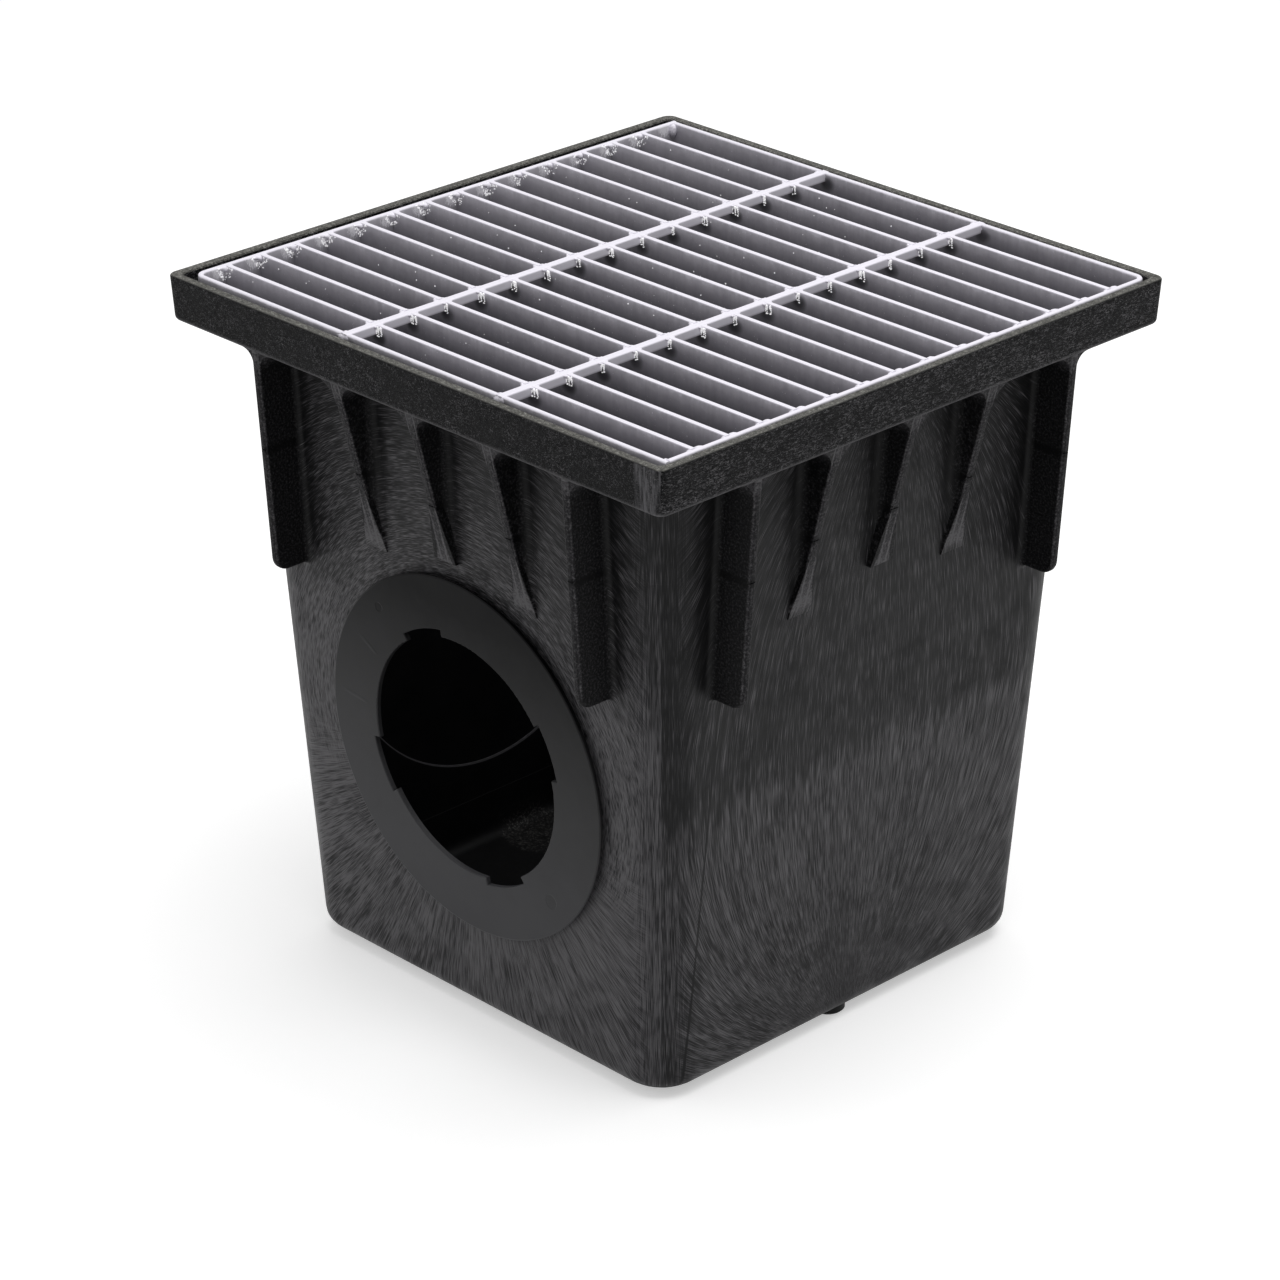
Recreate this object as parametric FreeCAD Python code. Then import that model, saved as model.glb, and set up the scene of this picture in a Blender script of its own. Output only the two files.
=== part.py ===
import FreeCAD, Part
import math
import os

# Square moulded gully basin with a welded steel bar grate lying in its rim and a notched
# outlet ring in an opening of its front wall. Its left wall has a closed round panel there.
# Millimetres, +Z up. The origin lies under the middle of the basin, level with the lowest
# point of the stub beneath the floor. The front wall faces -Y and the right wall +X.

Vec = FreeCAD.Vector

# Basin shell
rim_overhang = 31.56         # from the shell's wall out to the rim's face
wall_draft = 3.034           # degrees that each wall, and the rim's face, leans outwards
wall_thick = 6.5
floor_thick = 7.0
corner_radius = 32.0         # upright corners, outside
foot_radius = 14.0           # edge between walls and underside, outside
inner_foot_radius = 9.0
inner_step_height = 41.5     # of a fine ledge inside the walls, above the basin's underside
inner_step_depth = 0.5
stub_height = 5.0            # round stub under the floor, which the basin stands on
stub_radius = 12.4
stub_inset = 18.9            # from the shell's sharp lower edge to the stub's middle
stub_edge_bevel = 1.4

# Rim
rim_top_above_base = 495.0
rim_lip = 7.7                # width of the lip round the grate's pocket
rim_band = 32.9              # height of the rim's outer face
rim_corner_radius = 8.0
rim_lower_radius = 4.2       # rounding of the band's lower outer edge
rim_upper_radius = 1.2       # rounding of the lip's outer upper edge
pocket_edge_bevel = 0.9      # bevel of its inner upper edge
ledge_edge_bevel = 1.2

# Buttresses under the rim: two deep ribs and three gussets on each wall
rib_thick = 6.5
rib_inset = 88.7             # from the rim's outer face to the nearest rib's middle plane
rib_length = 163.6           # from the rim's underside down to the foot
rib_top_inset = 0.4          # how far the rib's outer edge stays inside the rim's face
rib_foot_depth = 28.7        # how far the rib's foot stands off the wall
rib_foot_round = 11.0
rib_root_radius = 5.0
rib_edge_radius = 2.4
step_drop = 71.5             # from the rim's underside down to the fine line across the buttresses
step_width = 0.8
step_depth = 0.5
gusset_thick = 6.5
rib_to_gusset = 76.5         # between the middle planes of a rib and the gusset beside it
gusset_top_depth = 27.2      # how far the gusset stands off the wall at the rim's underside
gusset_run_out = 133.1       # height over which its edge would fall back to the wall
side_gusset_length = 129.1   # from the rim's underside down to the toe
mid_gusset_length = 114.1
toe_width = 21.0
toe_height = 42.0            # height over which the gusset widens to its toe
flare_radius = 11.0          # rounding where a buttress meets the rim
gusset_root_radius = 3.0
gusset_edge_radius = 1.8

# Round panel, wall opening and outlet ring
panel_radius = 135.0         # closed panel, recessed in the inside of the left wall
panel_depth = 1.6
panel_shift = 2.2            # to the right of the wall's middle, seen from outside
opening_radius = 127.5
opening_height = 203.2       # of the middles of opening and panel above the basin's underside
ring_shift = 8.2             # the opening lies this far to the right of the wall's middle
seat_width = 1.0             # shoulder that bears on the wall round the opening
flange_overhang = 4.0        # how far the flange's edge stands out beyond that shoulder
flange_proud = 6.0           # front of the ring in front of the wall
flange_plate = 3.6
flange_bevel = 1.0           # width of the slight bevel along the flange's edge
flange_bevel_drop = 0.5
flange_edge = 1.0            # thickness of the flange's edge, which is undercut behind
spigot_clearance = 0.7
spigot_wall = 3.6
spigot_reach = 4.0           # how far the spigot goes into the opening
hole_radius = 88.1
notch_depth = 5.3
notch_count = 4
notch_angle = 25.0           # degrees that each notch takes of the hole
first_notch = 22.4           # degrees from the right, anticlockwise, to the first notch's middle
lip_width = 7.4
lip_length = 3.5             # of the hole's lip, along the ring's axis
lip_edge_radius = 0.8        # rounding of the front edges of hole and notches

# Bar grate
grate_size = 455.0           # outside, square
grate_shift_x = 3.2          # it lies a little to one side in its pocket
grate_shift_y = 1.0
pocket_clearance = 3.5       # all round, with the grate in the middle
pocket_corner_radius = 4.5
bar_depth = 25.4
grate_proud = 0.9            # the bars' tops above the rim
frame_thick = 4.0
frame_bend_radius = 9.0      # outside, at the two bent corners
bar_thick = 3.8
bar_count = 14
first_bar_inset = 27.5       # from the frame's front face to the first bar's middle
last_bar_inset = 35.42       # from its back face to the last bar's middle, for a pitch of 30.16
rod_width = 6.4
rod_depth = 6.4
first_rod_inset = 155.7      # from the frame's left face to the first rod's middle
last_rod_inset = 149.9       # from its right face to the other rod's middle
frame_edge_radius = 1.4      # rounding of the top edges
bar_edge_radius = 0.6
rod_edge_radius = 1.2
bead_leg = 4.0               # weld fillets between bars and frame
left_bead_height = 15.0
right_bead_height = 10.0
bead_drop = 0.6              # from the bars' tops to the top of a fillet

# Worked out from the sizes above
base_z = stub_height
rim_top_z = base_z + rim_top_above_base
rim_under_z = rim_top_z - rim_band
grate_top_z = rim_top_z + grate_proud
ledge_z = grate_top_z - bar_depth
opening_z = base_z + opening_height
inner_step_z = base_z + inner_step_height
step_z = rim_under_z - step_drop
slope = math.tan(math.radians(wall_draft))
pocket_half = grate_size / 2 + pocket_clearance
rim_half = pocket_half + rim_lip                                       # at the rim's top
base_half = rim_half - rim_overhang - slope * (rim_top_z - base_z)     # over sharp corners
rib_x = rim_half - rib_inset
gusset_x = rib_x - rib_to_gusset
buttress_top = rim_under_z + rim_lower_radius
seat_radius = opening_radius + seat_width
flange_radius = seat_radius + flange_overhang
left_x = grate_shift_x - grate_size / 2
right_x = grate_shift_x + grate_size / 2
front_y = grate_shift_y - grate_size / 2
back_y = grate_shift_y + grate_size / 2
bar_pitch = (grate_size - first_bar_inset - last_bar_inset) / (bar_count - 1)
reach = 3.0                  # how far shapes that are fused or cut run into each other


def wall_half(z):
    # half width of the shell's outer face at a height
    return base_half + slope * (z - base_z)


def rim_face(z):
    # half width of the rim's outer face at a height
    return rim_half - slope * (rim_top_z - z)


def turned(shape, degrees):
    copy = shape.copy()
    copy.rotate(Vec(0, 0, 0), Vec(0, 0, 1), degrees)
    return copy


def is_upright(edge):
    heights = [v.Z for v in edge.Vertexes]
    return max(heights) - min(heights) > 1


def is_level_at(edge, z):
    return all(abs(v.Z - z) < 1e-4 for v in edge.Vertexes)


def save(name, shape):
    shape.exportStep("parts/" + name + ".step")


# Basin

def frustum(half_low, half_high, z_low, z_high):
    wedge = Part.makeWedge(-half_low, 0, -half_low, -half_high, -half_high,
                           half_low, z_high - z_low, half_low, half_high, half_high)
    wedge.rotate(Vec(0, 0, 0), Vec(1, 0, 0), 90)
    wedge.translate(Vec(0, 0, z_low))
    return wedge


def drafted_block(half_low, z_low, z_high, corner, foot):
    # a block that widens upwards with the walls' draft, with round corners and a round foot
    solid = frustum(half_low, half_low + slope * (z_high - z_low), z_low, z_high)
    solid = solid.makeFillet(corner, [e for e in solid.Edges if is_upright(e)])
    return solid.makeFillet(foot, [e for e in solid.Edges if is_level_at(e, z_low)])


def tub(inset, z_low, z_high, foot):
    # the shell's form, moved inwards by inset
    return drafted_block(wall_half(z_low) - inset, z_low, z_high, corner_radius - inset, foot)


def rounded_block(half, radius, z_low, z_high):
    block = Part.makeBox(2 * half, 2 * half, z_high - z_low, Vec(-half, -half, z_low))
    return block.makeFillet(radius, [e for e in block.Edges if is_upright(e)])


def stub():
    middle = Vec(base_half - stub_inset, 0, 0)
    post = Part.makeCylinder(stub_radius, stub_height + reach, middle)
    return post.makeChamfer(stub_edge_bevel, [e for e in post.Edges if is_level_at(e, 0)])


def side_plate(points, width):
    # points are (distance out from the middle, height), for a buttress of the front wall
    loop = [Vec(-width / 2, -out, z) for out, z in points + points[:1]]
    return Part.Face(Part.makePolygon(loop)).extrude(Vec(width, 0, 0))


def step_line(out, width):
    # shallow groove across a buttress's edge, where two parts of the mould met
    return Part.makeBox(width, step_depth + reach, step_width, Vec(-width / 2, -out - reach, step_z))


def rib():
    foot = rim_under_z - rib_length
    foot_out = wall_half(foot) + rib_foot_depth
    top_out = rim_face(buttress_top) - rib_top_inset
    points = [(wall_half(foot) - reach, buttress_top), (top_out, buttress_top),
              (foot_out, foot), (wall_half(foot) - reach, foot)]
    plate = side_plate(points, rib_thick)
    corner = [e for e in plate.Edges if is_level_at(e, foot) and abs(e.CenterOfMass.y + foot_out) < 1e-4]
    plate = plate.makeFillet(rib_foot_round, corner)

    def is_outer(edge):
        middle = edge.CenterOfMass
        at_side = abs(abs(middle.x) - rib_thick / 2) < 1e-4
        return at_side and -middle.y > wall_half(foot) and middle.z < buttress_top - 1e-4
    plate = plate.makeFillet(rib_edge_radius, [e for e in plate.Edges if is_outer(e)])
    fall = (top_out - foot_out) / (buttress_top - foot)
    return plate.cut(step_line(top_out - fall * (buttress_top - step_z) - step_depth, 2 * rib_thick))


def shell_with_ribs():
    # all ribs and their root fillets
    body = tub(0, base_z, buttress_top, foot_radius)
    ribs = [turned(rib().translated(Vec(side * rib_x, 0, 0)), turn)
            for turn in (0, 90, 180, 270) for side in (-1, 1)]
    body = body.fuse(ribs).removeSplitter()

    def is_root(edge):
        points = [edge.valueAt(edge.FirstParameter), edge.valueAt(edge.LastParameter), edge.CenterOfMass]
        for point in points:
            out = max(abs(point.x), abs(point.y))
            along = min(abs(point.x), abs(point.y))
            if abs(out - wall_half(point.z)) > 0.3 or abs(along - rib_x) > rib_thick:
                return False
        return min(point.z for point in points) < buttress_top - 1
    return body.makeFillet(rib_root_radius, [e for e in body.Edges if is_root(e)])


def flare(thick):
    # concave widening of a buttress into the rim, drawn on the wall's own plane
    side = thick / 2
    bend = rim_under_z - flare_radius
    block = Part.makeBox(2 * (side + flare_radius), rim_half, buttress_top - bend,
                         Vec(-side - flare_radius, -rim_half, bend))
    for way in (-1, 1):
        start = Vec(way * (side + flare_radius), -rim_half - 1, bend)
        block = block.cut(Part.makeCylinder(flare_radius, rim_half + 2, start, Vec(0, 1, 0)))
    return block


def rib_flare():
    low = rim_under_z - flare_radius
    out = rim_face(buttress_top) - rib_top_inset - rib_edge_radius
    keep = side_plate([(wall_half(low) - reach, buttress_top), (out, buttress_top),
                       (out, low), (wall_half(low) - reach, low)], 4 * flare_radius)
    return flare(rib_thick).common(keep)


def gusset_root(foot):
    # concave rounding between a gusset's sides and the wall, which runs out inside the toe
    side = gusset_thick / 2
    wide = side + gusset_root_radius
    low = foot + toe_height / 2
    strip = Part.makeBox(2 * wide, rim_under_z - low, gusset_root_radius + reach, Vec(-wide, 0, -reach))
    for way in (-1, 1):
        start = Vec(way * wide, -1, gusset_root_radius)
        strip = strip.cut(Part.makeCylinder(gusset_root_radius, rim_under_z - low + 2, start, Vec(0, 1, 0)))
    on_wall = FreeCAD.Placement(Vec(0, -wall_half(low), low), FreeCAD.Rotation(Vec(1, 0, 0), 90 + wall_draft))
    return placed(strip, on_wall)


def gusset(length):
    # a plate with a sloping outer edge that widens to a toe at its foot
    rim_out = wall_half(rim_under_z) + gusset_top_depth
    fall = (rim_out - wall_half(rim_under_z - gusset_run_out)) / gusset_run_out
    foot = rim_under_z - length

    def edge_out(z):
        return rim_out - fall * (rim_under_z - z)
    points = [(wall_half(foot) - reach, buttress_top), (edge_out(buttress_top), buttress_top),
              (edge_out(foot), foot), (wall_half(foot) - reach, foot)]
    profile = side_plate(points, 4 * toe_width)
    side = gusset_thick / 2
    outline = [(-side, buttress_top), (side, buttress_top), (side, foot + toe_height), (toe_width / 2, foot),
               (-toe_width / 2, foot), (-side, foot + toe_height)]
    loop = [Vec(x, -rim_half, z) for x, z in outline + outline[:1]]
    front = Part.Face(Part.makePolygon(loop)).extrude(Vec(0, rim_half, 0))
    plate = profile.common(front)

    def is_outer(edge):
        middle = edge.CenterOfMass
        at_edge = abs(-middle.y - edge_out(middle.z)) < 1e-4
        return at_edge and foot + toe_height < middle.z < buttress_top - 1e-4
    plate = plate.makeFillet(gusset_edge_radius, [e for e in plate.Edges if is_outer(e)])
    plate = plate.cut(step_line(edge_out(step_z) - step_depth, 2 * gusset_thick))
    inside = [(out - gusset_edge_radius * (i in (1, 2)), z) for i, (out, z) in enumerate(points)]
    return plate.fuse([flare(gusset_thick).common(side_plate(inside, 4 * flare_radius)), gusset_root(foot)])


def buttresses():
    one_wall = [rib_flare().translated(Vec(side * rib_x, 0, 0)) for side in (-1, 1)]
    one_wall += [gusset(side_gusset_length).translated(Vec(side * gusset_x, 0, 0)) for side in (-1, 1)]
    one_wall.append(gusset(mid_gusset_length))
    return [turned(shape, turn) for turn in (0, 90, 180, 270) for shape in one_wall]


def wall_place(along, turn):
    # local x runs along the wall, y up the wall and z outwards
    on_front = FreeCAD.Placement(Vec(along, -wall_half(opening_z), opening_z),
                                 FreeCAD.Rotation(Vec(1, 0, 0), 90 + wall_draft))
    return FreeCAD.Placement(Vec(0, 0, 0), FreeCAD.Rotation(Vec(0, 0, 1), turn)).multiply(on_front)


def placed(shape, placement):
    copy = shape.copy()
    copy.Placement = placement
    return copy


ring_place = wall_place(ring_shift, 0)
panel_place = wall_place(panel_shift, -90)


def loop_edges(body, z, half):
    # the loop of edges that runs round the basin at a height and distance from its middle
    def is_on_loop(edge):
        out = max(abs(edge.CenterOfMass.x), abs(edge.CenterOfMass.y))
        return is_level_at(edge, z) and abs(out - half) < rim_lip / 2
    return [e for e in body.Edges if is_on_loop(e)]


def basin_body():
    rim = drafted_block(rim_face(rim_under_z), rim_under_z, rim_top_z, rim_corner_radius, rim_lower_radius)
    body = shell_with_ribs().fuse(buttresses() + [rim, stub()]).removeSplitter()
    sump = tub(wall_thick + inner_step_depth, base_z + floor_thick, inner_step_z + reach, inner_foot_radius)
    cavity = tub(wall_thick, inner_step_z, ledge_z + reach, inner_step_depth / 2)
    pocket = rounded_block(pocket_half, pocket_corner_radius, ledge_z, rim_top_z + reach)
    body = body.cut(sump).cut(cavity).cut(pocket)
    body = body.makeFillet(rim_upper_radius, loop_edges(body, rim_top_z, rim_half))
    body = body.makeChamfer(pocket_edge_bevel, loop_edges(body, rim_top_z, pocket_half))
    body = body.makeChamfer(ledge_edge_bevel, loop_edges(body, ledge_z, wall_half(ledge_z) - wall_thick))
    bore = Part.makeCylinder(opening_radius, 4 * wall_thick, Vec(0, 0, -3 * wall_thick))
    panel = Part.makeCylinder(panel_radius, 2 * wall_thick, Vec(0, 0, panel_depth - 3 * wall_thick))
    return body.cut([placed(bore, ring_place), placed(panel, panel_place)])


# Outlet ring

def turned_profile(points):
    loop = [Vec(r, 0, s) for r, s in points + points[:1]]
    return Part.Face(Part.makePolygon(loop)).revolve(Vec(0, 0, 0), Vec(0, 0, 1), 360)


def flange_profile():
    # from the front round the edge to the back of the plate, as (radius, distance off the wall)
    spigot_out = opening_radius - spigot_clearance
    back = flange_proud - flange_plate
    edge_front = flange_proud - flange_bevel_drop
    return [(flange_radius - flange_bevel, flange_proud), (flange_radius, edge_front),
            (flange_radius, edge_front - flange_edge), (seat_radius, back), (seat_radius, 0), (spigot_out, 0),
            (spigot_out, -spigot_reach), (spigot_out - spigot_wall, -spigot_reach),
            (spigot_out - spigot_wall, back)]


def notch(turn):
    sector = Part.makeCylinder(hole_radius + notch_depth, 4 * flange_proud, Vec(0, 0, -flange_proud),
                               Vec(0, 0, 1), notch_angle)
    sector.rotate(Vec(0, 0, 0), Vec(0, 0, 1), turn - notch_angle / 2)
    return sector


def outlet_ring():
    lip_back = flange_proud - lip_length
    lip_out = hole_radius + lip_width
    lip = [(lip_out, flange_proud - flange_plate), (lip_out, lip_back), (hole_radius, lip_back),
           (hole_radius, flange_proud)]
    ring = turned_profile(flange_profile() + lip)
    ring = ring.cut([notch(first_notch + 360 / notch_count * i) for i in range(notch_count)])

    def is_hole_edge(edge):
        middle = edge.valueAt((edge.FirstParameter + edge.LastParameter) / 2)
        return is_level_at(edge, flange_proud) and math.hypot(middle.x, middle.y) < lip_out
    ring = ring.makeFillet(lip_edge_radius, [e for e in ring.Edges if is_hole_edge(e)])
    return placed(ring, ring_place)


# Bar grate

def grate_slab(x_low, x_high, y_low, y_high, depth):
    # a block whose top is level with the grate's top
    return Part.makeBox(x_high - x_low, y_high - y_low, depth, Vec(x_low, y_low, grate_top_z - depth))


def bent_bar(points, corner):
    # an L-shaped flat bar; corner is the outer corner of the bend
    loop = [Vec(x, y, ledge_z) for x, y in points + points[:1]]
    bar = Part.Face(Part.makePolygon(loop)).extrude(Vec(0, 0, bar_depth))

    def rounded(solid, x, y, radius):
        near = [e for e in solid.Edges if is_upright(e)
                and abs(e.CenterOfMass.x - x) < 1e-4 and abs(e.CenterOfMass.y - y) < 1e-4]
        return solid.makeFillet(radius, near)
    x, y = corner
    inwards = 1 if x < grate_shift_x else -1
    bar = rounded(bar, x, y, frame_bend_radius)
    bar = rounded(bar, x + inwards * frame_thick, y + inwards * frame_thick, frame_bend_radius - frame_thick)
    top = [e for e in bar.Edges if is_level_at(e, grate_top_z) and e.Length > frame_thick + 1]
    bar = bar.makeFillet(frame_edge_radius, top)
    return bar.cut([rod_notch(rod) for rod in rod_middles])


def frame_left():
    x_in = left_x + frame_thick
    y_in = front_y + frame_thick
    points = [(left_x, front_y), (right_x, front_y), (right_x, y_in), (x_in, y_in), (x_in, back_y), (left_x, back_y)]
    return bent_bar(points, (left_x, front_y))


def frame_right():
    x_in = right_x - frame_thick
    y_in = back_y - frame_thick
    x_end = left_x + frame_thick
    y_end = front_y + frame_thick
    points = [(right_x, back_y), (x_end, back_y), (x_end, y_in), (x_in, y_in), (x_in, y_end), (right_x, y_end)]
    return bent_bar(points, (right_x, back_y))


def bar_y(index):
    return front_y + first_bar_inset + bar_pitch * index


rod_middles = [left_x + first_rod_inset, right_x - last_rod_inset]


def rod_notch(x):
    # space of a rod in the bearing bars and the frame, from one outer face of the frame to the other
    return grate_slab(x - rod_width / 2, x + rod_width / 2, front_y, back_y, rod_depth)


def long_top_edges(bar):
    return [e for e in bar.Edges if is_level_at(e, grate_top_z) and e.Length > bar_depth]


def cross_rod(x):
    rod = rod_notch(x)
    return rod.makeFillet(rod_edge_radius, long_top_edges(rod))


def bearing_bar(index):
    y = bar_y(index)
    bar = grate_slab(left_x + frame_thick, right_x - frame_thick, y - bar_thick / 2, y + bar_thick / 2, bar_depth)
    bar = bar.makeFillet(bar_edge_radius, long_top_edges(bar))
    return bar.cut([rod_notch(x) for x in rod_middles])


def bead(x, y, way_x, way_y, height):
    # a weld fillet in the corner at x, y, reaching in the two directions given
    z = grate_top_z - bead_drop - height
    loop = [Vec(x, y, z), Vec(x + way_x * bead_leg, y, z), Vec(x, y + way_y * bead_leg, z), Vec(x, y, z)]
    return Part.Face(Part.makePolygon(loop)).extrude(Vec(0, 0, height))


def weld_beads():
    beads = []
    for index in range(bar_count):
        beads.append(bead(left_x + frame_thick, bar_y(index) - bar_thick / 2, 1, -1, left_bead_height))
        beads.append(bead(right_x - frame_thick, bar_y(index) + bar_thick / 2, -1, 1, right_bead_height))
    beads.append(bead(right_x - frame_thick, front_y + frame_thick, -1, 1, left_bead_height))
    beads.append(bead(left_x + frame_thick, back_y - frame_thick, 1, -1, left_bead_height))
    return Part.makeCompound(beads)


os.makedirs("parts", exist_ok=True)
save("basin_body", basin_body())
save("outlet_ring", outlet_ring())
save("grate_frame_left", frame_left())
save("grate_frame_right", frame_right())
for number in range(bar_count):
    save("bearing_bar_%02d" % (number + 1), bearing_bar(number))
save("cross_rod_left", cross_rod(rod_middles[0]))
save("cross_rod_right", cross_rod(rod_middles[1]))
save("weld_beads", weld_beads())
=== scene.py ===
import math
import random
from functools import partial
from types import SimpleNamespace

import bpy
from mathutils import Matrix, Vector


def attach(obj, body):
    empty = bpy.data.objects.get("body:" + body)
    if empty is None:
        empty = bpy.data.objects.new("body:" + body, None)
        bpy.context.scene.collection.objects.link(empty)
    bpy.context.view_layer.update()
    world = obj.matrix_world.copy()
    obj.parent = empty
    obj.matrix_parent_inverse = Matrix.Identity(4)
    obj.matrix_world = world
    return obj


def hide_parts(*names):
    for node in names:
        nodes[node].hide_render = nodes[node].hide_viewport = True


# A square gully basin in black structural foam, with a galvanised bar grate in its rim.
# Metres, z up, the outlet looks towards -y. Settings are in mm. A ramp is four numbers: the
# value from and to, and what it gives there, from and to.

mm = 0.001
noiseSpan = (0.35, 0.65)  # nearly all values of a noise lie between these

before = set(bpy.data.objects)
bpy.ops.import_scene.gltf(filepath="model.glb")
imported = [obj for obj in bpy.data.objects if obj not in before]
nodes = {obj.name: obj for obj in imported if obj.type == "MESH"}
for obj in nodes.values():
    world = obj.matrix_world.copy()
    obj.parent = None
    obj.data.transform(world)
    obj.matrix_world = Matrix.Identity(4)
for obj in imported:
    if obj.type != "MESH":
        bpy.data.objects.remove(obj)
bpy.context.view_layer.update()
print("frame loaded:", len(nodes), "nodes")


def linearColour(hexValue):
    # sRGB hex to the linear colour that shaders take
    channels = [int(hexValue[i:i + 2], 16) / 255 for i in (1, 3, 5)]
    linear = [c / 12.92 if c <= 0.04045 else ((c + 0.055) / 1.055) ** 2.4 for c in channels]
    return (*linear, 1.0)


def addNode(tree, kind, links=(), stops=(), **settings):
    # kind can name the mode too. links fill the sockets in order or by name: a value, a socket, or
    # a node for its first output. A Mix takes its share in socket 0 and its ends in 2 and 3.
    kind, _, mode = kind.partition(" ")
    node = tree.nodes.new("ShaderNode" + kind)
    if mode:
        setattr(node, "interpolation_type" if kind == "MapRange" else "operation", mode)
    for name, value in settings.items():
        setattr(node, name, value)
    pairs = links.items() if isinstance(links, dict) else enumerate(links)
    for name, value in pairs:
        if isinstance(value, bpy.types.Node):
            value = value.outputs[0]
        if isinstance(value, bpy.types.NodeSocket):
            tree.links.new(value, node.inputs[name])
        else:
            node.inputs[name].default_value = linearColour(value) if isinstance(value, str) else value
    for index, (position, colour) in enumerate(stops):
        ramp = node.color_ramp.elements
        element = ramp[index] if index < 2 else ramp.new(1.0)
        element.position = position
        element.color = linearColour(colour)
    return node


def newMaterial(name):
    # the material, and addNode for its tree, which the functions below take as node
    material = bpy.data.materials.new(name)
    material.use_nodes = True
    material.node_tree.nodes.clear()
    return material, partial(addNode, material.node_tree)


def placeInMillimetres(node):
    # object coordinates, and their three parts
    place = node("VectorMath MULTIPLY", (node("TexCoord").outputs["Object"], (1 / mm,) * 3))
    return place, node("SeparateXYZ", (place,)).outputs


def apart(node, a, b):
    # how far two values lie from each other
    return node("Math ABSOLUTE", (node("Math SUBTRACT", (a, b)),))


def farFrom(node, across, up, middle):
    # distance in a plane
    flat = node("CombineXYZ", (across, up, 0))
    return node("VectorMath DISTANCE", (flat, (*middle, 0))).outputs["Value"]


def blot(node, across, up, middle, size, noise, raggedness=2.2, border=(2.35, 1.95)):
    # a patch whose edge the noise makes ragged: 1 inside, 0 outside
    flat = node("VectorMath SUBTRACT", (node("CombineXYZ", (across, up, 0)), (*middle, 0)))
    flat = node("VectorMath DIVIDE", (flat, (*size, 1)))
    squares = node("VectorMath DOT_PRODUCT", (flat, flat)).outputs["Value"]
    rough = node("Math MULTIPLY_ADD", (noise, raggedness, squares))
    return node("MapRange SMOOTHSTEP", (rough, *border, 0.0, 1.0))


# Structural foam: polyethylene blown with gas in the mould. The gas leaves fine streaks in the
# black skin along the flow of the melt, from the gate low on each wall up to the far edge.
foam = {
    "wallHalf": 180.9,  # half the basin's width at the foot
    "footLevel": 5.0,
    "slope": math.tan(math.radians(3.034)),
    "cornerRadius": 32.0,
    "rimUnder": 467.1,
    "rimTop": 500.0,
    "rimHalf": 238.7,
    "ringMiddle": (8.2, 208.2),
    "gateLevel": -15.0,  # where the streaks of a plain wall start and where they meet again
    "meetLevel": 500.0,
    # width, length, detail, roughness and share of the fine streaks and of the broad bands; the
    # fine ones are somewhat coarser than real, or they wouldn't show
    "streaks": ((0.45, 17.0, 1.0, 0.5, 0.62), (2.4, 60.0, 3.0, 0.6, 0.38)),
    "radian": 150.0,  # mm of streaks for a radian round the ring
    "hoopSpeed": 2.2,  # the streaks that run round the ring are shorter by this
    "hoopRagged": 60.0,
    "hoops": (-50.0, 20.0, 0.0, 1.0),  # from below the ring's middle to above it
    "cornerStreaks": (34.0, 6.0, 0.0, 1.0),  # upright streaks take over near a corner
    "tones": [(0.0, "#0a0a0b"), (0.25, "#1a1a1b"), (0.5, "#2d2c2e"), (0.75, "#414042"), (1.0, "#575658")],
    "roughness": (0.44, 0.58),
    "rimRougher": 0.08,
    "cloudSize": 22.0,  # noises that make borders ragged
    "raggedSize": (5.0, 5.0, 60.0),
    "specksPerMm": 0.62,
    "specular": 0.14,
    "bumpDepth": 0.07 * mm,
    "bump": 0.8,
}
wall = {  # a tone is a place in foam's tones
    "base": 0.59,
    "swing": 5.4,  # how much the streaks change the tone
    "calm": (20.0, 120.0, 0.45, 1.0),  # less close to the gate
    # painted reflection of the pale floor: the front wall is paler low down
    "frontFloorReflection": (340.0, 260.0, 0.0, 0.25),
    "upperRagged": 70.0,
    "underRimShadePlain": (203.0, 226.0, 0.0, 0.42),  # painted shade below the rim: plain walls are darker above a ragged border
    # and the front wall gets darker higher up, painted shade below the rim as well
    "underRimShadeFront": (270.0, 460.0, 0.0, 0.32),
    "mottleLow": (130.0, 60.0, 0.0, 0.16),  # dark mottles, more of them low on the wall
    "mottle": (0.57, 0.68, 0.0, 0.13),
    "rightPatches": [((-45, 66), (24, 9), 0.17), ((37, 60), (7, 13), 0.20), ((85, 65), (14, 10), 0.12),
                     ((-88, 180), (14, 7), 0.10)],  # middle, size, how much darker
    "frontPatches": [((-132, 322), (20, 30), 0.13), ((-172, 290), (16, 60), 0.09)],
    # painted shade near the rounded corners, with a ragged border
    "cornerRagged": 14.0,
    "cornerShade": (34.0, 12.0, 0.0, 0.11),
    "parting": (0.0556, -160.45),  # the mould's parting line on the right wall: its slope and its foot
    "partingTop": 296.0,
    "partingDark": (1.2, 0.4, 0.0, 0.8),
    "rootRagged": 6.0,
    "rootShade": (23.0, 10.0, 0.0, 0.42),  # painted shade along the roots of ribs and gussets
    "rootFade": (0.0, 30.0, 0.0, 1.0),
    # a thin painted highlight along the step
    "stepHighlight": (0.8, 0.2, 0.0, 0.07),
}
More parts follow.
